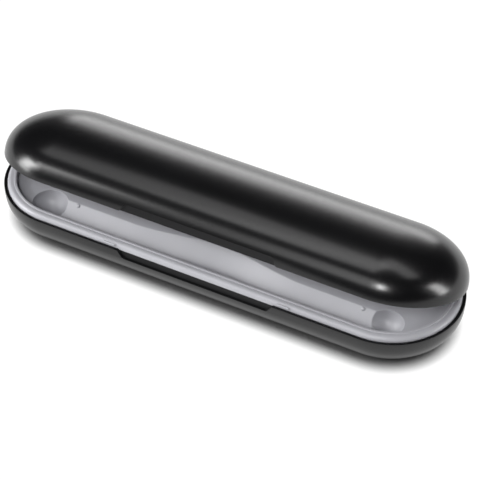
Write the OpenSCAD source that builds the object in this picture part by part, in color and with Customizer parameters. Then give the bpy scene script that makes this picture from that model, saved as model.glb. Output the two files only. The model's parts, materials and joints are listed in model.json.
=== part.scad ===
// Travel case for an electric toothbrush: two hinged shells, a moulded tray and a lid lining.
// The case lies along X, its finger recess faces -Y and its hinges are at +Y.
// The origin is in the middle of the flat foot, and the lid stands ajar.

/* [Case outline] */
// Length of the case over its shells
case_len = 245; // [220:1:280]
// Width of the case over its shells
case_w = 72.2; // [70:0.1:80]
// Height of the lower shell from its foot to the parting plane
base_h = 20; // [19:0.5:28]
// Height of the upper shell above the parting plane
lid_h = 20.5; // [19:0.5:28]
// Squareness of the lower shell's section, where 2 is an ellipse
base_power = 2.9; // [2.6:0.1:3.6]
// Squareness of the upper shell's section, where 2 is an ellipse
lid_power = 2.3; // [2.2:0.1:3]
// Depth sliced off the lower shell for its flat foot
foot_cut = 0.25; // [0.1:0.05:0.6]

/* [Shells] */
// Wall of both shells
shell_wall = 2.2; // [2:0.1:2.6]
// Width of the shells' thinned edge at the parting plane
edge_w = 1.45; // [1.2:0.05:1.6]
// Gap between the closed shells' edges
seam_gap = 0.2; // [0.1:0.05:0.3]
// Depth of the lower shell's rebate, in which the tray's rim sits
seat_drop = 0.7; // [0.5:0.1:1]

/* [Finger recess] */
// Length of the recess along the shells' edge
grip_len = 84; // [50:1:100]
// Height of the recess in each shell
grip_h = 4.3; // [3:0.1:5]
// Depth of the recess in the lower shell
base_grip_depth = 1.6; // [1.5:0.05:1.7]
// Depth of the recess in the upper shell
lid_grip_depth = 0.95; // [0.6:0.05:1.05]
// Slant of the recess's ends
grip_slant = 2.6; // [0.5:0.1:4]
// Thickness of the web behind the lower recess
grip_web = 1.6; // [1.2:0.1:2]

/* [Lid] */
// Angle by which the lid stands open at rest
open_angle = 18.2; // [0:0.1:60]
// Angle at which the opened lid meets its stop
stop_angle = 100; // [90:1:102]
// Wall of the lid's lining
liner_wall = 1.5; // [1.2:0.1:2]
// Thickness of the lining's flange
flange_t = 1.4; // [1.2:0.1:2]
// Least gap between the lining and the upper shell
liner_gap = 0.8; // [0.6:0.1:1.5]

/* [Tray rim] */
// Gap between the rim and the shells' edges
lip_gap = 0.3; // [0.25:0.05:0.4]
// Height of the rim above the parting plane
lip_h = 2.5; // [2:0.1:3]
// Gap between the closed lining and the rim
lip_clear = 0.4; // [0.3:0.1:0.8]
// Width of the rim from its outer to its inner face
rim_w = 4.75; // [4.5:0.05:5.5]
// Width of the rim's rounded outer edge
lip_round_w = 2.15; // [1.5:0.05:2.3]
// Height of the rim's rounded outer edge
lip_round_h = 2.3; // [1.5:0.05:2.4]
// Width of the raised bead along the rim's inner edge
bead_w = 1.5; // [1.2:0.1:1.8]
// Height of the bead over the rest of the rim's top
bead_h = 0.3; // [0.2:0.05:0.4]
// Radius of the rim's inner edge
rim_fillet = 0.5; // [0.2:0.1:0.8]
// Length of a snap bump on the rim's outer face
bump_len = 6; // [3:0.5:10]
// Radius of a snap bump
bump_r = 0.6; // [0.5:0.05:0.65]
// How far a snap bump stands out
bump_proud = 0.45; // [0.35:0.05:0.5]
// Height of a snap bump's middle above the parting plane
bump_z = 1.1; // [1:0.05:1.3]
// Distance of each snap bump from the middle of the case
bump_x = 47; // [46:0.5:60]

/* [Tray] */
// Wall of the tray
tray_wall = 1.6; // [1.4:0.1:1.8]
// Depth of the tray's deck below the parting plane
deck_drop = 1.5; // [1:0.1:2]
// Place of the brush head channel's middle along the case
channel_x = 1.6; // [0:0.1:2]
// Width of the deck left in front of the channel's hollows
channel_edge = 1.85; // [1.6:0.05:2.2]
// Slope of the channel's two walls
channel_slope = 45; // [42:1:50]
// How far the channel reaches back from its hollows' line at its necks
neck_w = 5; // [4.5:0.1:5.5]
// How much further back the channel's middle reaches, for the feet of two brush heads
bulge = 5.7; // [4:0.1:6]
// How far the channel reaches forward from its hollows' line
channel_front = 8.4; // [7.5:0.1:8.5]
// Half the length of the channel's wider middle
bulge_half = 48; // [40:1:55]
// Depth of the channel's flat bottom below the deck
channel_depth = 8.5; // [8:0.1:9.5]
// Radius of the round hollow at each end of the channel
hollow_r = 8.6; // [8:0.1:8.8]
// Distance of each round hollow from the channel's middle
hollow_x = 91.7; // [90:0.1:92]
// Radius of the nub that holds a brush head's stem
nub_r = 1.2; // [1:0.1:1.4]
// Distance of each nub from the channel's middle
nub_x = 78; // [76:0.5:79]
// How far the nub stands out of the neck's wall
nub_proud = 0.7; // [0.5:0.1:0.9]
// How far down the neck's wall the nub sits
nub_down = 1.1; // [1:0.1:1.4]

/* [Handle trough] */
// Width of the deck left behind the handle trough
trough_edge = 4; // [3:0.1:4.5]
// Depth of the handle's middle line below the parting plane
handle_drop = 0.5; // [0:0.1:0.6]
// Radius of the trough at its widest
handle_r = 14.5; // [13:0.1:14.6]
// Radius of the trough at the handle's tail
tail_r = 14; // [12:0.1:14.2]
// Radius of the trough at the handle's shoulder
shoulder_r = 13; // [11:0.1:13.4]
// Radius of the trough round the handle's shaft
shaft_r = 6; // [5:0.1:7]
// Where the tail ends
tail_x = -98; // [-99:0.5:-90]
// Length of the rounding at the tail and at the shoulder
tail_round = 11; // [8:0.5:13]
// Where the widest stretch begins
wide_x = -20; // [-30:1:-10]
// Where the shoulder ends
shoulder_x = 60; // [50:1:66]
// Where the shaft's trough ends
shaft_x = 96; // [85:0.5:97]
// Distance of the lining's two saddles from the middle of the case
saddle_x = 42; // [30:1:46]
// Thickness of a saddle
saddle_t = 2; // [1.4:0.1:3]
// Gap between a saddle and the handle trough's form
saddle_gap = 0.6; // [0.3:0.1:1]
// Half the width of a saddle
saddle_half_w = 15; // [10:0.5:16]

/* [Tray pegs] */
// Radius of the pegs under the tray
peg_r = 1.7; // [1.4:0.1:1.8]
// Clearance between a peg and its boss
peg_gap = 0.05; // [0.02:0.01:0.08]
// Wall of a boss round its peg
boss_wall = 1.45; // [1.2:0.05:1.6]
// Depth of a boss's top below the parting plane
boss_drop = 9; // [8:0.5:10]
// Length of peg inside its boss
peg_hold = 5; // [3:0.5:5.5]
// Distance of the outer pegs from the centres of the round ends
end_peg_x = 22; // [20:0.5:24]
// Sideways place of the outer pegs
end_peg_y = 2; // [0:0.5:4]
// Distance of the inner pegs from the middle of the case
mid_peg_x = 45; // [42:0.5:50]
// Sideways place of the inner pegs
mid_peg_y = -7.2; // [-8:0.1:-7]

/* [Hinges] */
// Distance of each hinge from the middle of the case
hinge_x = 62; // [50:1:70]
// Distance of the hinge line outside the shells' back
hinge_out = 0.6; // [0.55:0.05:0.8]
// Radius of the hinge knuckles
knuckle_r = 2; // [1.8:0.05:2]
// Length of the lid's knuckle
lid_knuckle = 9; // [7:0.5:12]
// Length of each of the base's knuckles
base_knuckle = 5.5; // [4:0.5:7]
// Gap between the knuckles
knuckle_gap = 0.3; // [0.2:0.05:0.4]
// Radius of the hinge pins
pin_r = 0.8; // [0.6:0.05:0.9]
// Running clearance of a pin in the lid's knuckle
pin_run = 0.05; // [0.02:0.01:0.08]
// Clearance of a pin in the base's knuckles
pin_hold = 0.02; // [0.01:0.01:0.03]
// How far each end of a pin lies inside its knuckle
pin_short = 0.2; // [0:0.1:0.5]
// Height of a hinge half below or above the parting plane
hinge_h = 6.2; // [6:0.1:6.8]
// Height of a hinge half's full thickness
hinge_full_h = 3; // [2.6:0.1:3.4]
// Thickness of the head behind the shell's wall
head_t = 1.5; // [1.2:0.1:1.6]
// How far the head is wider than its notch, at each end
head_wing = 3; // [2:0.5:4]
// Gap round a hinge half in its notch
notch_gap = 0.2; // [0.1:0.05:0.3]
// Gap between a turning knuckle and what it turns in
turn_gap = 0.3; // [0.25:0.05:0.4]
// Gap left between the lid's arm and its stop
stop_gap = 0.1; // [0.05:0.05:0.2]

/* [Hidden] */
$fn = 64;

SECTION_STEPS = 18;
ARC_STEPS = 6;
CHANNEL_STEPS = 16;
BLACK = "#1c1c1f";
GREY = "#b4b3b8";
STEEL = "#c8c8cc";

half_w = case_w / 2;
run = case_len - case_w;
rim_out = half_w - edge_w - lip_gap;
rim_in = rim_out - rim_w;
axis_y = half_w + hinge_out;
channel_y = -(rim_in - channel_edge - hollow_r);
handle_y = rim_in - trough_edge - handle_r;
flange_z = lip_h + lip_clear;
liner_r = rim_in + liner_wall;
liner_h = lid_h - shell_wall - liner_gap - flange_z;
bore_r = peg_r + peg_gap;
boss_r = bore_r + boss_wall;
hinge_w = lid_knuckle + 2 * (base_knuckle + knuckle_gap);
far = case_len;
over = 1;

// A superellipse quarter of radius r and height h, from its edge to its pole
function quarter(r, h, p) = [for (i = [0 : SECTION_STEPS]) let (a = 90 * i / SECTION_STEPS)
    [r * pow(cos(a), 2 / p), h * pow(sin(a), 2 / p)]];
// The same radius at height z
function quarter_r(r, h, p, z) = r * pow(1 - pow(z / h, p), 1 / p);
// A quarter of an ellipse about [x, z], from angle a to angle b
function bend(x, z, rx, rz, a, b) = [for (i = [0 : ARC_STEPS]) let (t = a + (b - a) * i / ARC_STEPS)
    [x + rx * cos(t), z + rz * sin(t)]];

// Sweeps a half section round the case's long outline
module around() {
    for (end = [0, 1]) mirror([end, 0, 0]) translate([run / 2, 0, 0]) rotate([0, 0, -90])
        rotate_extrude(angle = 180) children();
    for (side = [0, 1]) mirror([0, side, 0]) rotate([90, 0, 90]) translate([0, 0, -run / 2])
        linear_extrude(run) children();
}

// A slab of the case's outline, of half width r, from z0 up to z1
module slab(r, z0, z1) {
    translate([0, 0, z0]) linear_extrude(z1 - z0) {
        for (end = [-1, 1]) translate([end * run / 2, 0]) circle(r);
        square([run, 2 * r], center = true);
    }
}

// A domed solid on the parting plane, cut flat where it passes the height cap
module dome(r, h, p, cap) {
    around() polygon(concat([[0, 0]], [for (q = quarter(r, h, p)) [q.x, min(q.y, cap)]]));
}

// A form turned about a line along X, from a list of [place, radius]
module turned(profile) {
    rotate([0, 90, 0]) rotate_extrude() polygon([for (q = profile) [q.y, q.x]]);
}

module at_parting() translate([0, 0, base_h]) children();

// Carries what is drawn for the closed case, measured from the parting plane, to the ajar lid
module ajar() {
    translate([0, axis_y, base_h]) rotate([-open_angle, 0, 0]) translate([0, -axis_y, 0]) children();
}

// The finger recess, as a bar of depth d from the front, of height grip_h above the parting plane
module grip(d) {
    translate([0, -half_w + d, 0]) rotate([90, 0, 0]) linear_extrude(d + over) polygon([
        [-grip_len / 2, -over], [grip_len / 2, -over], [grip_len / 2, 0],
        [grip_len / 2 - grip_slant, grip_h], [grip_slant - grip_len / 2, grip_h], [-grip_len / 2, 0]]);
}

// The handle trough's form, made larger all round by g
function handle_form(g) = concat(
    [[tail_x - g, 0]],
    [for (q = bend(tail_x + tail_round, 0, tail_round + g, tail_r + g, 180, 90)) [q.x, q.y]],
    [[wide_x, handle_r + g]],
    [for (q = bend(shoulder_x - tail_round, shaft_r, tail_round, shoulder_r - shaft_r, 90, 0))
        [q.x + g, q.y + g]],
    [for (q = bend(shaft_x - shaft_r, 0, shaft_r + g, shaft_r + g, 90, 0)) [q.x, q.y]]);

// How far the channel's back wall lies behind the hollows' line at x, at the height of the deck
function channel_back(x) = neck_w + bulge * (1 + cos(180 * min(1, abs(x) / bulge_half))) / 2;

// What lies on the channel's side of a wall that slopes down from the deck, moved out by g.
// The wall's upper edge is a list of [place, distance from the hollows' line].
module wall_side(edge, g) {
    rotate([channel_slope - 90, 0, 0]) translate([0, 0, -case_w]) linear_extrude(2 * case_w) polygon(concat(
        [[hollow_x, -case_w]], [for (q = edge) [q.x, q.y * sin(channel_slope) + g]], [[-hollow_x, -case_w]]));
}

// The brush head channel between its back and front walls, with its round hollows, made larger all round by g
module channel_form(g) {
    intersection() {
        wall_side(concat([[hollow_x, neck_w]], [for (i = [CHANNEL_STEPS : -1 : -CHANNEL_STEPS])
            let (x = bulge_half * i / CHANNEL_STEPS) [x, channel_back(x)]], [[-hollow_x, neck_w]]), g);
        mirror([0, 1, 0]) wall_side([[hollow_x, channel_front], [-hollow_x, channel_front]], g);
        translate([-far / 2, -case_w / 2, -channel_depth - g]) cube([far, case_w, channel_depth + g + over]);
    }
    for (end = [-1, 1]) translate([end * hollow_x, 0, 0]) sphere(hollow_r + g);
}

module place_channel() translate([channel_x, channel_y, -deck_drop]) children();
module place_handle() translate([0, handle_y, -handle_drop]) children();
module at_pegs() {
    for (end = [-1, 1]) {
        translate([end * (run / 2 + end_peg_x), end_peg_y, 0]) children();
        translate([end * mid_peg_x, mid_peg_y, 0]) children();
    }
}
module at_bumps() for (end = [-1, 1]) translate([end * bump_x, bump_proud - bump_r - rim_out, bump_z]) children();
module along_x(length) rotate([0, 90, 0]) translate([0, 0, -length / 2]) linear_extrude(length) children();

// Black moulded lower shell
module base_shell() color(BLACK) at_parting() difference() {
    mirror([0, 0, 1]) dome(half_w, base_h + foot_cut, base_power, base_h);
    difference() {
        mirror([0, 0, 1]) dome(half_w - shell_wall, base_h - shell_wall, base_power, base_h);
        at_pegs() translate([0, 0, -base_h]) cylinder(r = boss_r, h = base_h - boss_drop);
        grip_backing();
    }
    slab(half_w - edge_w, -seat_drop, over);
    at_pegs() translate([0, 0, -boss_drop - peg_hold - peg_gap]) cylinder(r = bore_r, h = peg_hold + over);
    mirror([0, 0, 1]) grip(base_grip_depth);
    for (end = [-1, 1]) translate([end * hinge_x - hinge_w / 2 - notch_gap, rim_out - 2 * head_t, -hinge_h - notch_gap])
        cube([hinge_w + 2 * notch_gap, far, hinge_h + far]);
}

// The web that stands behind the lower finger recess, as a bar with a slanted underside
module grip_backing() {
    back = half_w - base_grip_depth - grip_web;
    rotate([90, 0, 90]) translate([0, 0, -grip_len / 2 - grip_web]) linear_extrude(grip_len + 2 * grip_web)
        polygon([[-half_w, over], [-back, over], [-back, -grip_h - grip_web / 2],
            [-half_w, -grip_h - 2.5 * grip_web]]);
}

// Light grey moulded tray with its rim, brush head channel and handle trough
module base_tray() color(GREY) at_parting() {
    difference() {
        union() {
            around() rim_section();
            slab(rim_in + tray_wall / 2, -deck_drop - tray_wall, -deck_drop);
            intersection() {
                union() {
                    place_channel() channel_form(tray_wall);
                    place_handle() turned(handle_form(tray_wall));
                }
                translate([-far, -far, -deck_drop - far]) cube([2 * far, 2 * far, far]);
            }
        }
        place_channel() channel_form(0);
        place_handle() turned(handle_form(0));
    }
    at_bumps() rotate([0, 90, 0]) cylinder(r = bump_r, h = bump_len, center = true);
    for (end = [-1, 1]) place_channel() translate([end * nub_x, neck_w, 0]) rotate([channel_slope - 90, 0, 0])
        translate([0, nub_r - nub_proud, -nub_down]) rotate([0, 90, 0]) sphere(nub_r);
    at_pegs() translate([0, 0, -boss_drop - peg_hold])
        cylinder(r = peg_r, h = boss_drop + peg_hold - deck_drop - tray_wall / 2);
}

// The rim's section: a rounded outer edge, a flat top with a raised bead, and an inner wall down to the deck
module rim_section() {
    top_z = lip_h - bead_h;
    polygon(concat(
        [[rim_out, -seat_drop]],
        bend(rim_out - lip_round_w, top_z - lip_round_h, lip_round_w, lip_round_h, 0, 90),
        bend(rim_in + bead_w - bead_h, top_z, bead_h, bead_h, 0, 90),
        bend(rim_in + rim_fillet, lip_h - rim_fillet, rim_fillet, rim_fillet, 90, 180),
        [[rim_in, -deck_drop - tray_wall], [rim_in + tray_wall, -deck_drop - tray_wall],
            [rim_in + tray_wall, top_z - tray_wall], [rim_out - lip_round_w, top_z - tray_wall],
            [rim_out - tray_wall, -seat_drop / 2], [rim_out - tray_wall, -seat_drop]]));
}

// Black moulded upper shell
module lid_shell() color(BLACK) ajar() difference() {
    dome(half_w, lid_h, lid_power, lid_h);
    dome(half_w - shell_wall, lid_h - shell_wall, lid_power, lid_h);
    slab(half_w, -over, seam_gap);
    slab(half_w - edge_w, 0, flange_z + flange_t);
    grip(lid_grip_depth);
    at_bumps() rotate([0, 90, 0])
        cylinder(r = bump_r + bump_proud / 3, h = bump_len + bump_proud, center = true);
    for (end = [-1, 1]) translate([end * hinge_x, 0, 0]) {
        translate([-hinge_w / 2 - notch_gap, rim_in, -over])
            cube([hinge_w + 2 * notch_gap, far, knuckle_r + turn_gap + over]);
        translate([-lid_knuckle / 2 - notch_gap, rim_in - 2 * head_t, -over])
            cube([lid_knuckle + 2 * notch_gap, far, hinge_h + notch_gap + over]);
    }
}

// Light grey lining of the lid, with a flange that covers the rim and two saddles over the handle
module lid_liner() color(GREY) ajar() {
    difference() {
        union() {
            slab(half_w - edge_w - lip_gap / 3, flange_z, flange_z + flange_t);
            translate([0, 0, flange_z]) dome(liner_r, liner_h, lid_power, liner_h);
        }
        translate([0, 0, flange_z]) dome(rim_in, liner_h - liner_wall, lid_power, liner_h);
        slab(rim_in, flange_z - over, flange_z + over / 10);
    }
    intersection() {
        translate([0, 0, flange_z]) dome(rim_in + liner_wall / 2, liner_h - liner_wall / 2, lid_power, liner_h);
        difference() {
            for (end = [-1, 1]) translate([end * saddle_x - saddle_t / 2, handle_y - saddle_half_w, flange_z + flange_t])
                cube([saddle_t, 2 * saddle_half_w, lid_h]);
            place_handle() turned(handle_form(saddle_gap));
        }
    }
}

// Turned round the hinge line, drawn for a hinge in the middle of the case
module hinge_barrel(r, length) translate([0, axis_y, 0]) rotate([0, 90, 0]) cylinder(r = r, h = length, center = true);

// Black hinge half of the base: two knuckles on a block in the back wall's notch, with a head inside
module base_hinge(side) color(BLACK) at_parting() translate([side * hinge_x, 0, 0]) difference() {
    wall_y = quarter_r(half_w - shell_wall, base_h - shell_wall, base_power, hinge_h) - turn_gap / 3;
    head_y = wall_y - head_t / 2;
    outer_y = axis_y + knuckle_r;
    slope = tan(stop_angle - 90);
    stop_z = -knuckle_r / cos(stop_angle - 90) - stop_gap;
    union() {
        for (end = [-1, 1]) translate([end * (lid_knuckle / 2 + knuckle_gap + base_knuckle / 2), 0, 0]) {
            hinge_barrel(knuckle_r, base_knuckle);
            rotate([90, 0, 90]) translate([0, 0, -base_knuckle / 2]) linear_extrude(base_knuckle) polygon([
                [head_y, -hinge_h], [half_w, -hinge_h], [outer_y, -hinge_full_h], [outer_y, 0],
                [axis_y - knuckle_r, 0], [axis_y - knuckle_r, -seat_drop], [head_y, -seat_drop]]);
        }
        rotate([90, 0, 90]) translate([0, 0, -hinge_w / 2]) linear_extrude(hinge_w) polygon([
            [head_y, -hinge_h], [half_w, -hinge_h], [outer_y, -hinge_full_h],
            [outer_y, stop_z - slope * knuckle_r], [axis_y - knuckle_r, stop_z + slope * knuckle_r],
            [axis_y - knuckle_r, -seat_drop], [head_y, -seat_drop]]);
        translate([-hinge_w / 2 - head_wing, wall_y - head_t, -hinge_h])
            cube([hinge_w + 2 * head_wing, head_t, hinge_h - seat_drop]);
    }
    hinge_barrel(knuckle_r + turn_gap, lid_knuckle + 2 * knuckle_gap);
    hinge_barrel(pin_r + pin_hold, far);
}

// Black hinge half of the lid: one knuckle on an arm through the back wall, with a head inside
module lid_hinge(side) color(BLACK) ajar() translate([side * hinge_x, 0, 0]) difference() {
    wall_y = quarter_r(half_w - shell_wall, lid_h - shell_wall, lid_power, hinge_h) - turn_gap / 3;
    head_y = wall_y - head_t / 2;
    outer_y = axis_y + knuckle_r;
    top_z = flange_z + flange_t;
    union() {
        hinge_barrel(knuckle_r, lid_knuckle);
        rotate([90, 0, 90]) translate([0, 0, -lid_knuckle / 2]) linear_extrude(lid_knuckle) polygon([
            [axis_y - knuckle_r, 0], [outer_y, 0], [outer_y, hinge_full_h], [half_w, hinge_h],
            [head_y, hinge_h], [head_y, top_z], [axis_y - knuckle_r, top_z]]);
        translate([-lid_knuckle / 2 - head_wing, wall_y - head_t, top_z])
            cube([lid_knuckle + 2 * head_wing, head_t, hinge_h - top_z]);
    }
    hinge_barrel(pin_r + pin_run, far);
}

// Steel hinge pin
module hinge_pin(side) color(STEEL) at_parting() translate([side * hinge_x, 0, 0])
    hinge_barrel(pin_r, hinge_w - 2 * pin_short);

module base_hinge_left() base_hinge(-1);
module base_hinge_right() base_hinge(1);
module hinge_pin_left() hinge_pin(-1);
module hinge_pin_right() hinge_pin(1);
module lid_hinge_left() lid_hinge(-1);
module lid_hinge_right() lid_hinge(1);

base_shell();
base_tray();
base_hinge_left();
base_hinge_right();
hinge_pin_left();
hinge_pin_right();
lid_shell();
lid_liner();
lid_hinge_left();
lid_hinge_right();
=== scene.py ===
import json
import math

import bmesh
import bpy
from mathutils import Matrix, Vector


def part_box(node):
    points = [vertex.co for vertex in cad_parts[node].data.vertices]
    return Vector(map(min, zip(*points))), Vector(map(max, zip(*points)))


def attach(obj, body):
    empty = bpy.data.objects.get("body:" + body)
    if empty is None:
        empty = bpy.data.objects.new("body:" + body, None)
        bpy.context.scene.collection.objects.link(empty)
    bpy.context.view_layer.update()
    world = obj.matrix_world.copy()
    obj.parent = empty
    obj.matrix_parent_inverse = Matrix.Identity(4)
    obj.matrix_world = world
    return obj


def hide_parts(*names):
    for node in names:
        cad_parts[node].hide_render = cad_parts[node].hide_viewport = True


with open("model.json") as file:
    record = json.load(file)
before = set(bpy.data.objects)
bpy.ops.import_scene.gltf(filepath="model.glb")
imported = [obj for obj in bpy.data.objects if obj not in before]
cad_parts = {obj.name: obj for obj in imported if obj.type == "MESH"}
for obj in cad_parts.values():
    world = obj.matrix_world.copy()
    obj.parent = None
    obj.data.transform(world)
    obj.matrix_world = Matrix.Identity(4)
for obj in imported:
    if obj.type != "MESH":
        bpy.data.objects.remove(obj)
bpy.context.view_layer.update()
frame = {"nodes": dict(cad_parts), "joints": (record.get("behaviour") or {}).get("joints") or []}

MM = 0.001

# Lower shell: the bottom half of the case, injection moulded in black plastic with a satin lacquer.
# Its section is swept round the long outline, a finger recess is cut under the front edge, and
# inside stand four bosses that take the tray's pegs.
shell_low, shell_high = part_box("base_shell")
CASE_LEN = shell_high.x - shell_low.x
CASE_W = shell_high.y - shell_low.y
BASE_H = shell_high.z
HALF_W = CASE_W / 2
RUN = CASE_LEN - CASE_W
PARTING = Matrix.Translation((0, 0, BASE_H))
BASE_POWER = 2.9
FOOT_CUT = 0.25 * MM
WALL = 2.2 * MM
EDGE_W = 1.45 * MM
EDGE_ROUND = 0.22 * MM
SEAT_DROP = 0.7 * MM
LIP_GAP = 0.3 * MM
RIM_OUT = HALF_W - EDGE_W - LIP_GAP
GRIP_LEN = 84 * MM
GRIP_H = 4.3 * MM
GRIP_SLANT = 2.6 * MM
GRIP_BEND_W, GRIP_BEND_H, GRIP_BEND_IN = 1.92 * MM, 1.6 * MM, 1.404 * MM
GRIP_BEND_START = 25
BASE_GRIP_DEPTH = 1.6 * MM
GRIP_WEB = 1.6 * MM
PEG_R = 1.7 * MM
PEG_GAP = 0.05 * MM
PEG_HOLD = 5 * MM
END_PEG_X, END_PEG_Y = RUN / 2 + 22 * MM, 2 * MM
MID_PEG_X, MID_PEG_Y = 45 * MM, -7.2 * MM
PEG_PLACES = [(side * x, y) for side in (-1, 1)
              for x, y in ((END_PEG_X, END_PEG_Y), (MID_PEG_X, MID_PEG_Y))]
BOSS_WALL = 1.45 * MM
BOSS_R = PEG_R + PEG_GAP + BOSS_WALL
BOSS_TOP = -9 * MM
HINGE_X = 62 * MM
HEAD_T = 1.5 * MM
NOTCH_W, NOTCH_DEEP = 21 * MM, 6.4 * MM
CUT_OVER = 1 * MM
WELD = 0.002 * MM
OUTLINE_STEPS = 256
SECTION_STEPS = 56
STUD_STEPS = 48
SOFT_ANGLE, SHARP_ANGLE = math.radians(32), math.radians(38)


def superellipse(r, h, power, start=0.0):
    """Points of a quarter section from height start, near its edge, up to its pole."""
    first = math.asin(min(1, start / h) ** (power / 2))
    turns = [first + (math.pi / 2 - first) * i / SECTION_STEPS for i in range(SECTION_STEPS)]
    return [(r * math.cos(t) ** (2 / power), h * math.sin(t) ** (2 / power)) for t in turns] + [(0, h)]


def across_at(r, h, power, z):
    """How far such a section, r wide and h high, reaches sideways at height z."""
    return r * (1 - (z / h) ** power) ** (1 / power)


def arc(x, z, rx, rz, start, end, steps=6):
    """Points of an elliptical bend about (x, z), with its angles in degrees."""
    turns = [math.radians(start + (end - start) * i / steps) for i in range(steps + 1)]
    return [(x + rx * math.cos(t), z + rz * math.sin(t)) for t in turns]


def fill(tree, node, inputs):
    """Sets a node's inputs, each to a value or to what another node gives."""
    for name, value in inputs.items():
        if isinstance(value, bpy.types.NodeSocket):
            tree.links.new(value, node.inputs[name])
        else:
            node.inputs[name].default_value = value


def add_node(tree, kind, inputs, output=0, **settings):
    """Adds a node with its settings and inputs, and returns one of its outputs."""
    node = tree.nodes.new(kind)
    for name, value in settings.items():
        setattr(node, name, value)
    fill(tree, node, inputs)
    return node.outputs[output]


def new_tree(name, *inputs):
    """An empty tree that makes a mesh, and what its inputs give. Each input is (name, kind)."""
    tree = bpy.data.node_groups.new(name, "GeometryNodeTree")
    for label, kind in inputs:
        tree.interface.new_socket(label, in_out="INPUT", socket_type="NodeSocket" + kind)
    tree.interface.new_socket("Geometry", in_out="OUTPUT", socket_type="NodeSocketGeometry")
    return tree, tree.nodes.new("NodeGroupInput").outputs


def end_tree(tree, geometry, material):
    """Gives the geometry its material and hands it out of the tree."""
    finish = add_node(tree, "GeometryNodeSetMaterial", {"Geometry": geometry, "Material": material})
    fill(tree, tree.nodes.new("NodeGroupOutput"), {"Geometry": finish})
    return tree


def outline_sweep_tree():
    """Sweeps a section, drawn as a curve from the middle line outwards, round the case's outline."""
    tree, given = new_tree("section_round_the_case", ("Section", "Object"), ("Half width", "Float"),
                           ("Straight run", "Float"), ("Steps", "Int"), ("Material", "Material"))
    circle = add_node(tree, "GeometryNodeCurvePrimitiveCircle",
                      {"Resolution": given["Steps"], "Radius": given["Half width"]})
    half_step = add_node(tree, "ShaderNodeMath", {0: math.pi, 1: given["Steps"]}, operation="DIVIDE")
    spin = add_node(tree, "ShaderNodeCombineXYZ", {"Z": half_step})
    turned = add_node(tree, "GeometryNodeTransform", {"Geometry": circle, "Rotation": spin})
    place = add_node(tree, "GeometryNodeInputPosition", {})
    along = add_node(tree, "ShaderNodeSeparateXYZ", {"Vector": place}, "X")
    end = add_node(tree, "ShaderNodeMath", {0: along}, operation="SIGN")
    half_run = add_node(tree, "ShaderNodeMath", {0: given["Straight run"], 1: 0.5}, operation="MULTIPLY")
    shift = add_node(tree, "ShaderNodeMath", {0: end, 1: half_run}, operation="MULTIPLY")
    offset = add_node(tree, "ShaderNodeCombineXYZ", {"X": shift})
    stretched = add_node(tree, "GeometryNodeSetPosition", {"Geometry": turned, "Offset": offset})
    upright = add_node(tree, "GeometryNodeSetCurveNormal", {"Curve": stretched}, mode="Z_UP")
    section = add_node(tree, "GeometryNodeObjectInfo", {"Object": given["Section"]}, "Geometry")
    sweep = add_node(tree, "GeometryNodeCurveToMesh", {"Curve": upright, "Profile Curve": section})
    weld = add_node(tree, "GeometryNodeMergeByDistance", {"Geometry": sweep, "Distance": WELD})
    return end_tree(tree, weld, given["Material"])


OUTLINE_SWEEP = outline_sweep_tree()


def run_tree(name, tree, **values):
    """Runs a tree on an empty object and returns its result as a plain mesh."""
    holder = bpy.data.objects.new(name, bpy.data.meshes.new(name))
    bpy.context.collection.objects.link(holder)
    modifier = holder.modifiers.new("tree", "NODES")
    modifier.node_group = tree
    for item in tree.interface.items_tree:
        label = item.name.replace(" ", "_")
        if item.in_out == "INPUT" and label in values:
            modifier[item.identifier] = values[label]
    graph = bpy.context.evaluated_depsgraph_get()
    mesh = bpy.data.meshes.new_from_object(holder.evaluated_get(graph))
    bpy.data.objects.remove(holder)
    return mesh


def swept(name, points, material):
    """A mesh of a section swept round the case. Points are (distance from the middle line, height)."""
    curve = bpy.data.curves.new("section", "CURVE")
    curve.dimensions = "3D"
    spline = curve.splines.new("POLY")
    spline.points.add(len(points) - 1)
    for point, (out, height) in zip(spline.points, points):
        point.co = (out - HALF_W, -height, 0, 1)
    section = bpy.data.objects.new("section", curve)
    bpy.context.collection.objects.link(section)
    mesh = run_tree(name, OUTLINE_SWEEP, Section=section, Half_width=HALF_W, Straight_run=RUN,
                    Steps=OUTLINE_STEPS, Material=material)
    bpy.data.objects.remove(section)
    return mesh


def as_object(name, mesh, outward=True):
    """Links a closed mesh as an object, with its faces turned outwards."""
    if outward:
        shape = bmesh.new()
        shape.from_mesh(mesh)
        bmesh.ops.recalc_face_normals(shape, faces=shape.faces)
        shape.to_mesh(mesh)
        shape.free()
    item = bpy.data.objects.new(name, mesh)
    bpy.context.collection.objects.link(item)
    return item


def mesh_of(name, shape, material=None):
    """Turns a finished bmesh into a mesh of one material."""
    mesh = bpy.data.meshes.new(name)
    shape.to_mesh(mesh)
    shape.free()
    if material:
        mesh.materials.append(material)
    return mesh


def apply_modifiers(item):
    """Bakes the modifiers of an object into its mesh."""
    graph = bpy.context.evaluated_depsgraph_get()
    mesh = bpy.data.meshes.new_from_object(item.evaluated_get(graph))
    item.modifiers.clear()
    item.data = mesh


def combine(item, tool, operation):
    """Adds a tool shape to an object or cuts it away."""
    modifier = item.modifiers.new(operation.lower(), "BOOLEAN")
    modifier.operation = operation
    modifier.solver = "MANIFOLD"
    modifier.object = tool
    apply_modifiers(item)
    bpy.data.objects.remove(tool)


def bar(name, outline, axis, start, end, material=None):
    """A closed prism over an outline, along axis X or Y, from start to end."""
    shape = bmesh.new()
    near, far = [[shape.verts.new((at, p, q) if axis == "X" else (p, at, q)) for p, q in outline]
                 for at in (start, end)]
    shape.faces.new(near)
    shape.faces.new(far)
    for i, here in enumerate(near):
        shape.faces.new((here, near[i - 1], far[i - 1], far[i]))
    return as_object(name, mesh_of(name, shape, material))


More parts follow.
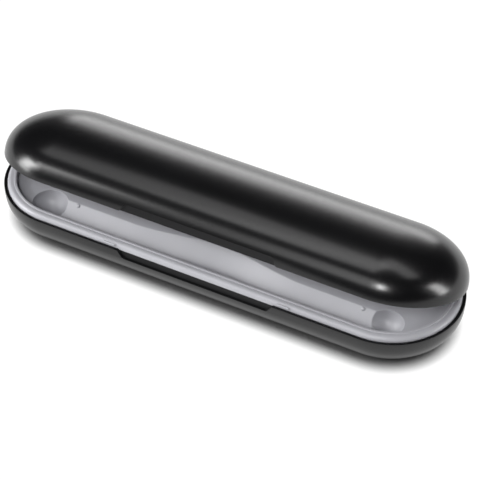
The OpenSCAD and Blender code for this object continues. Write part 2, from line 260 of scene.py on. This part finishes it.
def studs_tree():
    """Stands a round stud on each point of a mesh."""
    tree, given = new_tree("studs_on_points", ("Places", "Object"), ("Radius", "Float"),
                           ("Length", "Float"), ("Turn", "Vector"), ("Material", "Material"))
    places = add_node(tree, "GeometryNodeObjectInfo", {"Object": given["Places"]}, "Geometry")
    stud = add_node(tree, "GeometryNodeMeshCylinder",
                    {"Vertices": STUD_STEPS, "Radius": given["Radius"], "Depth": given["Length"]})
    copies = add_node(tree, "GeometryNodeInstanceOnPoints",
                      {"Points": places, "Instance": stud, "Rotation": given["Turn"]})
    real = add_node(tree, "GeometryNodeRealizeInstances", {"Geometry": copies})
    return end_tree(tree, real, given["Material"])


STUDS = studs_tree()


def studs(name, places, radius, length, material, turn=(0, 0, 0)):
    """Round studs whose middles are at the given places."""
    points = bpy.data.meshes.new("places")
    points.from_pydata(places, [], [])
    holder = bpy.data.objects.new("places", points)
    bpy.context.collection.objects.link(holder)
    mesh = run_tree(name, STUDS, Places=holder, Radius=radius, Length=length, Turn=turn,
                    Material=material)
    bpy.data.objects.remove(holder)
    return as_object(name, mesh, outward=False)


def finger_recess(depth, side):
    """The cutter of a finger recess: its ends slant and its inner corners are rounded."""
    half = GRIP_LEN / 2
    outline = [(half, -side * CUT_OVER), (half, 0)]
    outline += arc(half - GRIP_SLANT - GRIP_BEND_IN, side * (GRIP_H - GRIP_BEND_H),
                   GRIP_BEND_W, side * GRIP_BEND_H, GRIP_BEND_START, 90)
    outline += [(-x, z) for x, z in reversed(outline)]
    return bar("recess", outline, "Y", -HALF_W - CUT_OVER, -HALF_W + depth)


def cut_notch(shell, side, width, front, low, high):
    """Cuts a square notch for a hinge through a shell's back wall."""
    x0, x1 = side * HINGE_X - width / 2, side * HINGE_X + width / 2
    outline = [(x0, low), (x1, low), (x1, high), (x0, high)]
    combine(shell, bar("notch", outline, "Y", front, HALF_W + CUT_OVER), "DIFFERENCE")


def shade(item):
    """Shades a moulding smooth and keeps its sharp edges."""
    item.data.shade_smooth()
    item.data.set_sharp_from_angle(angle=SHARP_ANGLE)


def soften(item, radius, segments=3):
    """Rounds the sharp edges of a moulding and shades it smooth."""
    modifier = item.modifiers.new("edges", "BEVEL")
    modifier.width = radius
    modifier.segments = segments
    modifier.limit_method = "ANGLE"
    modifier.angle_limit = SOFT_ANGLE
    apply_modifiers(item)
    shade(item)


def new_material(name):
    """A new material with its node tree and its surface shader."""
    material = bpy.data.materials.new(name)
    material.use_nodes = True
    return material, material.node_tree, material.node_tree.nodes["Principled BSDF"]


def on_piece(tree):
    """The place on the piece, which its patterns follow."""
    return add_node(tree, "ShaderNodeTexCoord", {}, "Object")


def noise(tree, place, scale, detail=2.0):
    """A noise pattern, with its scale in features per metre."""
    return add_node(tree, "ShaderNodeTexNoise", {"Vector": place, "Scale": scale, "Detail": detail}, "Fac")


def spread(tree, value, low, high, start=0.3, end=0.7):
    """Maps a pattern's middle range, from start to end, to the values from low to high."""
    return add_node(tree, "ShaderNodeMapRange", {"Value": value, "From Min": start, "From Max": end,
                                                 "To Min": low, "To Max": high}, "Result")


def tint(tree, value, dark, pale):
    """Blends two colours by a pattern."""
    return add_node(tree, "ShaderNodeMix", {"Factor": value, "A": (*dark, 1), "B": (*pale, 1)}, "Result",
                    data_type="RGBA")


def relief(tree, height, strength, depth):
    """The slope of a surface on which a pattern stands out by a depth in metres."""
    return add_node(tree, "ShaderNodeBump", {"Height": height, "Strength": strength, "Distance": depth})


def satin_black_lacquer():
    """Near black lacquer with a satin shine and the faint waviness of a moulding."""
    material, tree, shader = new_material("satin_black_lacquer")
    place = on_piece(tree)
    clouds = noise(tree, place, scale=28.0)
    grain = noise(tree, place, scale=900.0)
    fill(tree, shader, {
        "Base Color": tint(tree, spread(tree, clouds, low=0, high=1),
                           dark=(0.002, 0.002, 0.0023), pale=(0.003, 0.003, 0.0035)),
        "Roughness": spread(tree, grain, low=0.23, high=0.26),
        "IOR": 1.5,
        "Normal": relief(tree, clouds, strength=0.2, depth=0.03 * MM)})
    return material


BLACK = satin_black_lacquer()


def matt_black():
    """Black moulded plastic with a fine eroded grain and no lacquer."""
    material, tree, shader = new_material("matt_black")
    grain = noise(tree, on_piece(tree), scale=2400.0, detail=3.0)
    fill(tree, shader, {
        "Base Color": tint(tree, grain, dark=(0.006, 0.006, 0.0065), pale=(0.012, 0.012, 0.0125)),
        "Roughness": spread(tree, grain, low=0.42, high=0.55),
        "Specular IOR Level": 0.15,
        "Normal": relief(tree, grain, strength=0.3, depth=0.015 * MM)})
    return material


MATT_BLACK = matt_black()


def darken_recess(shell, height, power, depth, side):
    """Gives a shell's finger recess the matt black, which reflects far less than the lacquer, so that the
    recess shows darker.
    """
    inset, past_back, turned_away = 0.1 * MM, 0.2 * MM, 0.3
    shell.data.materials.append(MATT_BLACK)
    for face in shell.data.polygons:
        at = face.center
        skin = -across_at(HALF_W, height, power, min(abs(at.z), GRIP_H))
        if (abs(at.x) < GRIP_LEN / 2 and skin + inset < at.y < depth + past_back - HALF_W
                and inset < side * at.z < GRIP_H and face.normal.y < turned_away):
            face.material_index = len(shell.data.materials) - 1


def solid_dome(name, radius, height, power, side, foot=math.inf, start=0.0):
    """A closed dome over (side 1) or under (side -1) the parting plane, cut flat at the height foot."""
    points = [(r, side * min(z, foot)) for r, z in superellipse(radius, height, power, start)]
    return as_object(name, swept(name, [(0, side * start)] + points, BLACK))


def round_slab(name, radius, z0, z1):
    """A slab of the case's outline, of that half width."""
    return as_object(name, swept(name, [(0, z0), (radius, z0), (radius, z1), (0, z1)], BLACK))


base_shell = solid_dome("lower_shell", HALF_W, BASE_H + FOOT_CUT, BASE_POWER, -1, BASE_H)
cavity = solid_dome("cavity", HALF_W - WALL, BASE_H - WALL, BASE_POWER, -1)
boss_h = BASE_H + BOSS_TOP
boss_places = [(x, y, BOSS_TOP - boss_h / 2) for x, y in PEG_PLACES]
combine(cavity, studs("bosses", boss_places, BOSS_R, boss_h, BLACK), "DIFFERENCE")
web_back = -HALF_W + BASE_GRIP_DEPTH + GRIP_WEB
web = [(-HALF_W, CUT_OVER), (web_back, CUT_OVER), (web_back, -GRIP_H - GRIP_WEB / 2),
       (-HALF_W, -GRIP_H - 2.5 * GRIP_WEB)]
combine(cavity, bar("web", web, "X", -GRIP_LEN / 2 - GRIP_WEB, GRIP_LEN / 2 + GRIP_WEB), "DIFFERENCE")
combine(base_shell, cavity, "DIFFERENCE")
combine(base_shell, round_slab("rebate", HALF_W - EDGE_W, -SEAT_DROP, CUT_OVER), "DIFFERENCE")
bore_places = [(x, y, BOSS_TOP - PEG_HOLD / 2) for x, y in PEG_PLACES]
combine(base_shell, studs("bores", bore_places, PEG_R + PEG_GAP, PEG_HOLD + 2 * PEG_GAP, BLACK),
        "DIFFERENCE")
combine(base_shell, finger_recess(BASE_GRIP_DEPTH, -1), "DIFFERENCE")
for side in (-1, 1):
    cut_notch(base_shell, side, NOTCH_W, RIM_OUT - 2 * HEAD_T, -NOTCH_DEEP, CUT_OVER)
soften(base_shell, EDGE_ROUND)
darken_recess(base_shell, BASE_H, BASE_POWER, BASE_GRIP_DEPTH, -1)
base_shell.data.transform(PARTING)
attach(base_shell, "base")
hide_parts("base_shell")

# Tray: a light grey moulding that drops into the lower shell. Its rim has a flat top and a rounded
# outer edge, and its deck holds a channel for two brush heads and a trough for the handle. Four
# pegs underneath press into the shell's bosses, and two snap bumps in front hold the lid shut.
RIM_W = 4.75 * MM
RIM_IN = RIM_OUT - RIM_W
LIP_H = 2.5 * MM
LIP_ROUND_W, LIP_ROUND_H = 2.15 * MM, 2.3 * MM
RIM_FILLET = 0.5 * MM
BEAD_W, BEAD_H = 1.5 * MM, 0.3 * MM
TRAY_WALL = 1.6 * MM
DECK = -1.5 * MM
DECK_UNDER = DECK - TRAY_WALL
DECK_FILLET = 0.3 * MM
TROUGH_EDGE = 0.3 * MM
HOLLOW_R, HOLLOW_X = 8.6 * MM, 91.7 * MM
CHANNEL_EDGE = 1.85 * MM
CHANNEL_X, CHANNEL_Y = 1.6 * MM, -(RIM_IN - CHANNEL_EDGE - HOLLOW_R)
CHANNEL_SLOPE = math.radians(45)
CHANNEL_DEPTH = 8.5 * MM
CHANNEL_FRONT = 8.4 * MM
NECK_W = 5 * MM
BULGE_HALF, BULGE = 48 * MM, 5.7 * MM
FLOOR_SOFTNESS, HOLLOW_SOFTNESS = 0.5 * MM, 0.4 * MM
HANDLE_R = 14.5 * MM
HANDLE_EDGE = 4 * MM
HANDLE_Y, HANDLE_Z = RIM_IN - HANDLE_EDGE - HANDLE_R, -0.5 * MM
TAIL_X, TAIL_R, TAIL_ROUND = -98 * MM, 14 * MM, 11 * MM
WIDE_X = -20 * MM
SHOULDER_X, SHOULDER_R, SHOULDER_ROUND = 60 * MM, 13 * MM, 11 * MM
SHAFT_X, SHAFT_R = 96 * MM, 6 * MM
NUB_R, NUB_X, NUB_PROUD, NUB_DOWN = 1.2 * MM, 78 * MM, 0.7 * MM, 1.1 * MM
BUMP_R, BUMP_LEN, BUMP_PROUD = 0.6 * MM, 6 * MM, 0.45 * MM
BUMP_X, BUMP_Z = 47 * MM, 1.1 * MM
BUMP_PLACES = [(side * BUMP_X, BUMP_R - BUMP_PROUD - RIM_OUT, BUMP_Z) for side in (-1, 1)]
ALONG_X = (0, math.pi / 2, 0)
BULGE_STEPS, NECK_STEPS, HOLLOW_STEPS, UNDER_STEPS = 24, 5, 88, 40
EDGE_STEPS = 5
HALVINGS = 40
TIP_SHARE = 1.000001
STRAIGHT_DOWN = math.pi / 2


def moulded_grey():
    """Light grey, matt, with the fine grain of an eroded mould and hardly any change of tone."""
    material, tree, shader = new_material("moulded_grey")
    place = on_piece(tree)
    clouds = noise(tree, place, scale=40.0, detail=3.0)
    grain = noise(tree, place, scale=3200.0)
    fill(tree, shader, {
        "Base Color": tint(tree, spread(tree, clouds, low=0, high=1),
                           dark=(0.33, 0.33, 0.353), pale=(0.35, 0.35, 0.374)),
        "Roughness": spread(tree, grain, low=0.38, high=0.46),
        "Normal": relief(tree, grain, strength=0.25, depth=0.012 * MM)})
    return material


GREY = moulded_grey()


def channel_places(grow=0.0, hollow_steps=HOLLOW_STEPS):
    """Places along the brush head channel, close together where it meets its round hollows."""
    hollow = HOLLOW_R + grow
    neck = HOLLOW_X - hollow - BULGE_HALF
    half = [BULGE_HALF * i / BULGE_STEPS for i in range(1, BULGE_STEPS + 1)]
    half += [BULGE_HALF + neck * i / NECK_STEPS for i in range(1, NECK_STEPS)]
    half += [HOLLOW_X - hollow * math.cos(math.pi * i / hollow_steps) for i in range(hollow_steps + 1)]
    return [CHANNEL_X - x for x in reversed(half)] + [CHANNEL_X] + [CHANNEL_X + x for x in half]


def channel_reach(x, side, turn, grow=0.0):
    """How far the channel reaches from its line, at an angle below the deck: sloping back and front
    walls, a flat bottom and a round hollow at each end, with softened joins."""
    along = abs(x - CHANNEL_X)
    hollow = math.sqrt(max(0, (HOLLOW_R + grow) ** 2 - (along - HOLLOW_X) ** 2))
    if along > HOLLOW_X:
        return hollow
    swell = (1 + math.cos(math.pi * min(1, along / BULGE_HALF))) / 2
    widths = [width + grow / math.sin(CHANNEL_SLOPE) for width in (NECK_W + BULGE * swell, CHANNEL_FRONT)]
    near, opposite = widths if side > 0 else reversed(widths)
    sunk = math.sin(turn) / math.tan(CHANNEL_SLOPE)
    faces = [(near, sunk + math.cos(turn)), (opposite, sunk - math.cos(turn)),
             (CHANNEL_DEPTH + grow, math.sin(turn))]
    groove = -FLOOR_SOFTNESS * math.log(sum(math.exp(-distance / share / FLOOR_SOFTNESS)
                                            for distance, share in faces if share > 0))
    return max(groove, hollow) + HOLLOW_SOFTNESS * math.log(
        1 + math.exp(-abs(groove - hollow) / HOLLOW_SOFTNESS))


def channel_under_reach(x, side, turn):
    """The same for the channel's underside, one wall further out."""
    return channel_reach(x, side, turn, TRAY_WALL)


def handle_profile(grow=0.0):
    """(place, radius) along the handle's trough, from its tail over the shoulder to the shaft."""
    tail = arc(TAIL_X + TAIL_ROUND, 0, TAIL_ROUND + grow, TAIL_R + grow, 180, 90, steps=18)
    shoulder = arc(SHOULDER_X - SHOULDER_ROUND, SHAFT_R, SHOULDER_ROUND, SHOULDER_R - SHAFT_R, 90, 0,
                   steps=14)
    tip = arc(SHAFT_X - SHAFT_R, 0, SHAFT_R + grow, SHAFT_R + grow, 90, 0, steps=14)
    return tail + [(WIDE_X, HANDLE_R + grow)] + [(x + grow, r + grow) for x, r in shoulder] + tip


def handle_reach(profile):
    """How far a trough turned about its line reaches from it, from a list of (place, radius)."""
    def reach(x, side, turn):
        for (x0, r0), (x1, r1) in zip(profile, profile[1:]):
            if x0 <= x <= x1:
                return r0 + (r1 - r0) * (x - x0) / (x1 - x0)
        return 0.0
    return reach


def crossing(value, start, end):
    """Where a value changes its sign between start and end."""
    last = value(end) > 0
    for halving in range(HALVINGS):
        middle = (start + end) / 2
        start, end = (start, middle) if (value(middle) > 0) == last else (middle, end)
    return end


def deep_stations(places, reach, low):
    """The places at which a trough is deeper than low, with the two tips where it gets there."""
    stations = []
    for x0, x1 in zip(places, places[1:]):
        if (reach(x0, 1, STRAIGHT_DOWN) > low) != (reach(x1, 1, STRAIGHT_DOWN) > low):
            stations.append(crossing(lambda x: reach(x, 1, STRAIGHT_DOWN) - low, x0, x1))
        if reach(x1, 1, STRAIGHT_DOWN) > low:
            stations.append(x1)
    return stations


def lip_at(reach, x, side, low):
    """Angle and sideways distance at which a trough passes the depth low under its line."""
    if reach(x, side, STRAIGHT_DOWN) <= low * TIP_SHARE:
        return STRAIGHT_DOWN, 0.0
    turn = crossing(lambda t: reach(x, side, t) * math.sin(t) - low, 0.0, STRAIGHT_DOWN)
    return turn, side * reach(x, side, turn) * math.cos(turn)


def rounded_edge(lips, sharp_ys, top, edge):
    """Rings of a rounded edge from the deck down to a trough's lips, clear of the rim's foot."""
    most = RIM_IN - DECK_FILLET - 0.05 * MM
    bends = []
    for i, (lip, sharp_y) in enumerate(zip(lips, sharp_ys)):
        along = (lips[(i + 1) % len(lips)] - lips[i - 1]).normalized()
        away = Vector((-along.y, along.x))
        corner = lip + away * abs((sharp_y - lip.y) * away.y)
        outer = corner + away * math.hypot(edge, (corner - lip).length)
        spine = Vector((max(-RUN / 2, min(RUN / 2, outer.x)), 0))
        bends.append((spine + (outer - spine) * min(1.0, most / (outer - spine).length), corner, lip))
    rings = []
    for t in [k / EDGE_STEPS for k in range(EDGE_STEPS)]:
        rings.append([(*(outer * (1 - t) ** 2 + corner * 2 * t * (1 - t) + lip * t * t),
                       top - edge * t * t) for outer, corner, lip in bends])
    return rings


def trough(shape, places, reach, middle_y, middle_z, top, edge=0.0, steps=16):
    """Adds the skin of a trough round a line along X, sunk from the height top and rounded there."""
    low = middle_z - top + edge
    stations = deep_stations(places, reach, low)
    sides = [(x, 1) for x in stations] + [(x, -1) for x in reversed(stations[1:-1])]
    starts = [lip_at(reach, x, side, low) for x, side in sides]
    rings = []
    if edge:
        lips = [Vector((x, middle_y + out)) for (x, side), (turn, out) in zip(sides, starts)]
        sharp_ys = [middle_y + lip_at(reach, x, side, low - edge)[1] for x, side in sides]
        rings += rounded_edge(lips, sharp_ys, top, edge)
    for k in range(steps + 1):
        ring = []
        for (x, side), (first, out) in zip(sides, starts):
            turn = first + (STRAIGHT_DOWN - first) * k / steps
            r = reach(x, side, turn) if first < STRAIGHT_DOWN else low
            ring.append((x, middle_y + side * r * math.cos(turn), middle_z - r * math.sin(turn)))
        rings.append(ring)
    rows = [[shape.verts.new(point) for point in ring] for ring in rings]
    for upper, lower in zip(rows, rows[1:]):
        for i in range(len(upper)):
            shape.faces.new((upper[i - 1], upper[i], lower[i], lower[i - 1]))


def close_level(shape, height):
    """Fills the flat stretch between the open loops at that height."""
    near = 0.01 * MM
    loops = [edge for edge in shape.edges
             if edge.is_boundary and all(abs(corner.co.z - height) < near for corner in edge.verts)]
    bmesh.ops.triangle_fill(shape, use_beauty=True, edges=loops)


def ball(name, centre, radius, material):
    """A small ball whose poles lie along X."""
    shape = bmesh.new()
    bmesh.ops.create_uvsphere(shape, u_segments=32, v_segments=16, radius=radius)
    shape.transform(Matrix.Translation(centre) @ Matrix.Rotation(math.pi / 2, 4, "Y"))
    return as_object(name, mesh_of(name, shape, material))


rim_top = LIP_H - BEAD_H
rim = arc(RIM_IN - DECK_FILLET, DECK + DECK_FILLET, DECK_FILLET, DECK_FILLET, -90, 0, steps=4)
rim += arc(RIM_IN + RIM_FILLET, LIP_H - RIM_FILLET, RIM_FILLET, RIM_FILLET, 180, 90, steps=5)
rim += arc(RIM_IN + BEAD_W - BEAD_H, rim_top, BEAD_H, BEAD_H, 90, 0, steps=4)
rim += arc(RIM_OUT - LIP_ROUND_W, rim_top - LIP_ROUND_H, LIP_ROUND_W, LIP_ROUND_H, 90, 0, steps=14)
rim += [(RIM_OUT, -SEAT_DROP), (RIM_OUT - TRAY_WALL, -SEAT_DROP), (RIM_OUT - TRAY_WALL, -SEAT_DROP / 2),
        (RIM_OUT - LIP_ROUND_W, rim_top - TRAY_WALL), (RIM_IN + TRAY_WALL, rim_top - TRAY_WALL),
        (RIM_IN + TRAY_WALL, DECK_UNDER)]
shape = bmesh.new()
shape.from_mesh(swept("tray", rim, GREY))
trough(shape, channel_places(), channel_reach, CHANNEL_Y, DECK, DECK, TROUGH_EDGE, steps=20)
trough(shape, channel_places(TRAY_WALL, UNDER_STEPS), channel_under_reach, CHANNEL_Y, DECK, DECK_UNDER)
for grow, level, edge in ((0, DECK, TROUGH_EDGE), (TRAY_WALL, DECK_UNDER, 0)):
    profile = handle_profile(grow)
    trough(shape, [x for x, r in profile], handle_reach(profile), HANDLE_Y, HANDLE_Z, level, edge)
bmesh.ops.remove_doubles(shape, verts=shape.verts, dist=WELD)
close_level(shape, DECK)
close_level(shape, DECK_UNDER)
tray = as_object("moulded_tray", mesh_of("moulded_tray", shape, GREY))
nub_spot = (Matrix.Translation((CHANNEL_X, CHANNEL_Y + NECK_W, DECK))
            @ Matrix.Rotation(CHANNEL_SLOPE - math.pi / 2, 4, "X")
            @ Vector((0, NUB_R - NUB_PROUD, -NUB_DOWN)))
for side in (-1, 1):
    combine(tray, ball("nub", nub_spot + Vector((side * NUB_X, 0, 0)), NUB_R, GREY), "UNION")
combine(tray, studs("bumps", BUMP_PLACES, BUMP_R, BUMP_LEN, GREY, ALONG_X), "UNION")
peg_top, peg_end = DECK - TRAY_WALL / 2, BOSS_TOP - PEG_HOLD
peg_middles = [(x, y, (peg_top + peg_end) / 2) for x, y in PEG_PLACES]
combine(tray, studs("pegs", peg_middles, PEG_R, peg_top - peg_end, GREY), "UNION")
shade(tray)
tray.data.transform(PARTING)
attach(tray, "base")
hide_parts("base_tray")

# Upper shell: the lid's black moulding, lacquered like the lower one. A finger recess is cut under
# its front edge, with two dimples behind it for the snap bumps, and its back wall has two notches
# for the hinges. It is drawn closed and then turned to the angle at which the lid stands ajar.
hinge = frame["joints"][0]
HINGE_LINE = Vector(hinge["pos_m"])
OPEN_TURN = math.radians(hinge["range_deg"][0])
AJAR = (Matrix.Translation(HINGE_LINE) @ Matrix.Rotation(OPEN_TURN, 4, "X")
        @ Matrix.Translation(-HINGE_LINE) @ PARTING)
LID_H = 20.485 * MM
LID_POWER = 2.3
SEAM_GAP = 0.2 * MM
LID_GRIP_DEPTH = 0.95 * MM
LIP_CLEAR = 0.4 * MM
FLANGE_Z = LIP_H + LIP_CLEAR
FLANGE_T = 1.4 * MM
KNUCKLE_NOTCH_H = 2.3 * MM
ARM_NOTCH_W = 9.4 * MM
lid_shell = solid_dome("upper_shell", HALF_W, LID_H, LID_POWER, 1, start=SEAM_GAP)
combine(lid_shell, solid_dome("lid_cavity", HALF_W - WALL, LID_H - WALL, LID_POWER, 1), "DIFFERENCE")
combine(lid_shell, round_slab("ledge", HALF_W - EDGE_W, -CUT_OVER, FLANGE_Z + FLANGE_T), "DIFFERENCE")
combine(lid_shell, finger_recess(LID_GRIP_DEPTH, 1), "DIFFERENCE")
combine(lid_shell, studs("dimples", BUMP_PLACES, BUMP_R + BUMP_PROUD / 3, BUMP_LEN + BUMP_PROUD, BLACK,
                         ALONG_X), "DIFFERENCE")
for side in (-1, 1):
    cut_notch(lid_shell, side, NOTCH_W, RIM_IN, -CUT_OVER, KNUCKLE_NOTCH_H)
    cut_notch(lid_shell, side, ARM_NOTCH_W, RIM_IN - 2 * HEAD_T, -CUT_OVER, NOTCH_DEEP)
soften(lid_shell, EDGE_ROUND)
darken_recess(lid_shell, LID_H, LID_POWER, LID_GRIP_DEPTH, 1)
lid_shell.data.transform(AJAR)
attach(lid_shell, "lid")
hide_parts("lid_shell")

# Lid lining: a light grey moulding bonded under the upper shell. Its flange closes over the tray's
# rim, and two saddles hang down to keep the handle in its trough.
LINER_WALL = 1.5 * MM
LINER_GAP = 0.8 * MM
LINER_R = RIM_IN + LINER_WALL
LINER_H = LID_H - WALL - LINER_GAP - FLANGE_Z
LINER_ROUND = 0.2 * MM
FLANGE_R = HALF_W - EDGE_W - LIP_GAP / 3
SADDLE_X, SADDLE_T, SADDLE_GAP, SADDLE_HALF_W = 42 * MM, 2 * MM, 0.6 * MM, 15 * MM
SADDLE_STEPS = 40
outside = [(r, FLANGE_Z + z) for r, z in superellipse(LINER_R, LINER_H, LID_POWER, FLANGE_T)]
inside = [(r, FLANGE_Z + z) for r, z in superellipse(RIM_IN, LINER_H - LINER_WALL, LID_POWER)]
flange = [(FLANGE_R, FLANGE_Z + FLANGE_T), (FLANGE_R, FLANGE_Z)]
lid_liner = as_object("lid_lining", swept("lid_lining", outside[::-1] + flange + inside, GREY))


def roof_at(y):
    """Height of the middle of the lining's wall over the sideways place y."""
    return FLANGE_Z + across_at(LINER_H - LINER_WALL / 2, RIM_IN + LINER_WALL / 2, LID_POWER, abs(y))


def saddle_outline(handle):
    """A saddle's outline: its top lies in the lining's wall, and it is hollowed below for the handle."""
    ys = [HANDLE_Y + SADDLE_HALF_W * (2 * i / SADDLE_STEPS - 1) for i in range(SADDLE_STEPS + 1)]
    tops = [HANDLE_Z + math.sqrt(max(0, handle ** 2 - (y - HANDLE_Y) ** 2)) for y in ys]
    under = [(y, max(FLANGE_Z + FLANGE_T, top)) for y, top in zip(ys, tops)]
    return [(y, roof_at(y)) for y in ys] + under[::-1]


for side in (-1, 1):
    at = side * SADDLE_X
    widest = max(r for x, r in handle_profile(SADDLE_GAP) if x <= at)
    saddle = bar("saddle", saddle_outline(widest), "X", at - SADDLE_T / 2, at + SADDLE_T / 2, GREY)
    combine(lid_liner, saddle, "UNION")
soften(lid_liner, LINER_ROUND)
lid_liner.data.transform(AJAR)
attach(lid_liner, "lid")
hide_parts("lid_liner")

# Hinge halves: black mouldings whose heads sit behind the shells' back walls and whose knuckles
# stand out through the notches. Each edge of them is slightly rounded by the mould.
HINGE_ROUND = 0.15 * MM
FLAT_ANGLE = math.radians(1)


def finished_copy(node, name, material, radius):
    """The node's own shape as one welded object with rounded edges."""
    shape = bmesh.new()
    shape.from_mesh(frame["nodes"][node].data)
    bmesh.ops.remove_doubles(shape, verts=shape.verts, dist=WELD)
    bmesh.ops.dissolve_limit(shape, angle_limit=FLAT_ANGLE, verts=shape.verts, edges=shape.edges)
    item = as_object(name, mesh_of(name, shape, material), outward=False)
    soften(item, radius, segments=2)
    return item


for node, body in (("base_hinge_left", "base"), ("base_hinge_right", "base"),
                   ("lid_hinge_left", "lid"), ("lid_hinge_right", "lid")):
    half = finished_copy(node, node + "_half", MATT_BLACK, HINGE_ROUND)
    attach(half, body)
    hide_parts(node)

# Hinge pins: ground steel rods pressed into the lower shell's knuckles, one to each hinge. The lid's
# knuckles turn on them.
PIN_ROUND = 0.12 * MM
DRAWN_SCALE = (60, 4000, 4000)


def brushed_steel():
    """Drawn steel: fine lines along the pin, brighter and darker in turn."""
    material, tree, shader = new_material("brushed_steel")
    lines = add_node(tree, "ShaderNodeMapping", {"Vector": on_piece(tree), "Scale": DRAWN_SCALE})
    drawn = noise(tree, lines, scale=1.0, detail=3.0)
    fill(tree, shader, {
        "Base Color": tint(tree, drawn, dark=(0.42, 0.42, 0.44), pale=(0.66, 0.66, 0.68)),
        "Roughness": spread(tree, drawn, low=0.25, high=0.42),
        "Metallic": 1.0,
        "Normal": relief(tree, drawn, strength=0.2, depth=0.005 * MM)})
    return material


STEEL = brushed_steel()
for node in ("hinge_pin_left", "hinge_pin_right"):
    pin = finished_copy(node, node + "_rod", STEEL, PIN_ROUND)
    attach(pin, "base")
    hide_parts(node)

# Studio: a plain white floor, eleven soft boxes and a dim room. The boxes draw long soft highlights
# along the black shells, and the camera stands where the photo was taken from.
AZIMUTH = math.radians(27.674)
ELEVATION = math.radians(42.844)
DISTANCE = 996.58 * MM
SHIFT_RIGHT, SHIFT_UP = 5.592 * MM, -3.42 * MM
FOCAL_PIXELS = 2044.9
PHOTO_WIDTH = 480
SENSOR = 36.0
MIDDLE = Vector((0, 0, BASE_H))


def direction_to(azimuth, elevation):
    """Direction from the case to what stands at that angle round it, from +X, and that high."""
    flat = math.cos(elevation)
    return Vector((math.cos(azimuth) * flat, math.sin(azimuth) * flat, math.sin(elevation)))


back = direction_to(AZIMUTH - math.pi / 2, ELEVATION)
right = Vector((math.cos(AZIMUTH), math.sin(AZIMUTH), 0))
up = back.cross(right)
camera = bpy.data.objects.new("camera", bpy.data.cameras.new("camera"))
camera.data.sensor_width = SENSOR
camera.data.lens = FOCAL_PIXELS * SENSOR / PHOTO_WIDTH
stand = MIDDLE + right * SHIFT_RIGHT + up * SHIFT_UP + back * DISTANCE
camera.matrix_world = Matrix.Translation(stand) @ Matrix((right, up, back)).transposed().to_4x4()
bpy.context.scene.collection.objects.link(camera)
bpy.context.scene.camera = camera

FLOOR = 3000 * MM
# Reach of the floor's painted contact shadow, and the occlusion range over which it fades.
SHADOW_REACH = 10 * MM
SHADOW_FROM, SHADOW_TO = 0.3, 0.75
LIT_PAPER, SEEN_PAPER = (0.8, 0.8, 0.8), (0.05, 0.05, 0.05)


def white_paper():
    """Paper that glows white to the camera and to mirrored rays, with a painted contact shadow close to
    the case.
    """
    material, tree, shader = new_material("white_paper")
    rays = tree.nodes.new("ShaderNodeLightPath").outputs
    seen = rays["Is Camera Ray"]
    for kind in ("Is Glossy Ray", "Is Transmission Ray"):
        seen = add_node(tree, "ShaderNodeMath", {0: seen, 1: rays[kind]}, operation="MAXIMUM")
    # Painted shadow: the glow is dimmed where the case hides the sky close by.
    open_sky = add_node(tree, "ShaderNodeAmbientOcclusion", {"Distance": SHADOW_REACH}, "AO")
    white = spread(tree, open_sky, low=0.0, high=1.0, start=SHADOW_FROM, end=SHADOW_TO)
    fill(tree, shader, {
        "Base Color": tint(tree, seen, LIT_PAPER, SEEN_PAPER),
        "Roughness": 1.0,
        "Specular IOR Level": 0.0,
        "Emission Color": (1, 1, 1, 1),
        "Emission Strength": add_node(tree, "ShaderNodeMath", {0: white, 1: seen}, operation="MULTIPLY")})
    return material


floor_mesh = bpy.data.meshes.new("floor")
floor_corners = [(-FLOOR, -FLOOR, 0), (FLOOR, -FLOOR, 0), (FLOOR, FLOOR, 0), (-FLOOR, FLOOR, 0)]
floor_mesh.from_pydata(floor_corners, [], [(0, 1, 2, 3)])
floor_mesh.materials.append(white_paper())
floor = bpy.data.objects.new("floor", floor_mesh)
bpy.context.scene.collection.objects.link(floor)


def soft_box(name, azimuth, elevation, width, height, radiance, distance):
    """A soft box seen from the case in that direction, with its size as angles in degrees."""
    direction = direction_to(math.radians(azimuth), math.radians(elevation))
    lamp = bpy.data.lights.new(name, "AREA")
    lamp.shape = "RECTANGLE"
    lamp.size = 2 * distance * math.tan(math.radians(width / 2))
    lamp.size_y = 2 * distance * math.tan(math.radians(height / 2))
    lamp.energy = radiance * math.pi * lamp.size * lamp.size_y
    item = bpy.data.objects.new(name, lamp)
    item.location = MIDDLE + direction * distance
    item.rotation_euler = direction.to_track_quat("Z", "Y").to_euler()
    bpy.context.scene.collection.objects.link(item)


NEAR, FAR = 1300 * MM, 1500 * MM
for name, azimuth, elevation, width, height, radiance, distance in (
        ("left_box", -150, 14, 22, 38, 10.0, NEAR),
        ("left_key", -149, 21, 13, 20, 9.0, NEAR),
        ("left_fill", -136, 34, 12, 24, 8.5, NEAR),
        ("front_key", -79, 45, 8, 14, 32.0, NEAR),
        ("front_box", -80, 42, 18, 18, 3.0, NEAR),
        ("front_fill", -102, 46, 20, 28, 2.1, NEAR),
        ("right_box", 13, 14, 14, 38, 11.5, NEAR),
        ("top_box", 150, 61, 30, 14, 1.5, FAR),
        ("top_high", 150, 76, 30, 14, 3.0, FAR),
        ("top_right", 65, 67, 40, 16, 2.2, FAR),
        ("back_box", 106, 4.5, 32, 9, 4.4, NEAR)):
    soft_box(name, azimuth, elevation, width, height, radiance, distance)

ROOM = (0.03, 0.03, 0.031, 1)
world = bpy.data.worlds.new("room")
world.use_nodes = True
world.node_tree.nodes["Background"].inputs["Color"].default_value = ROOM
world.node_tree.nodes["Background"].inputs["Strength"].default_value = 1.0
bpy.context.scene.world = world
bpy.context.scene.view_settings.view_transform = "Standard"
